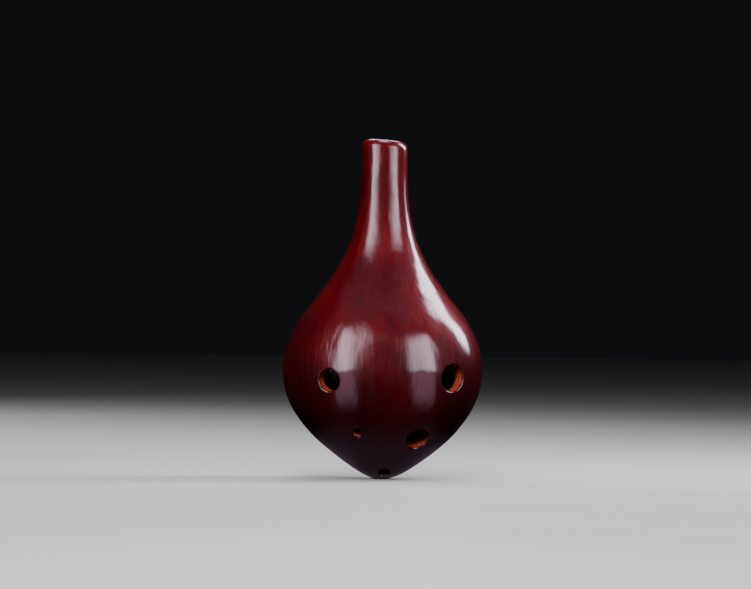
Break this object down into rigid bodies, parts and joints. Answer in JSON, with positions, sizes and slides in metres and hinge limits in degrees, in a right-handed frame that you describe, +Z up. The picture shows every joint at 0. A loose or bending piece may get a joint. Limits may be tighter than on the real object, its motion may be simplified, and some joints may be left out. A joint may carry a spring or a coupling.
{
  "type": "ocarina",
  "caption": "Teardrop clay ocarina with a long neck blown from the top, finger holes in front, thumb holes behind and a cord tunnel through the tail.",
  "frame": {"origin": "the lowest point of the tail, on the body's axis, where a stand holds it", "axes": "+Z up along the axis to the mouthpiece, +X to the right, -Y the way the front finger holes face"},
  "size_m": [0.064, 0.05, 0.109],
  "materials": {
    "front_shell": "deep maroon gloss glaze",
    "back_shell": "deep maroon gloss glaze",
    "tail_plug": "deep maroon gloss glaze",
    "labium": "deep maroon gloss glaze",
    "windway_floor": "bare fired earthenware",
    "windway_roof": "bare fired earthenware"
  },
  "bodies": {
    "root": {"front_shell": "front_shell", "back_shell": "back_shell", "tail_plug": "tail_plug", "labium": "labium", "windway_floor": "windway_floor", "windway_roof": "windway_roof"}
  },
  "joints": []
}
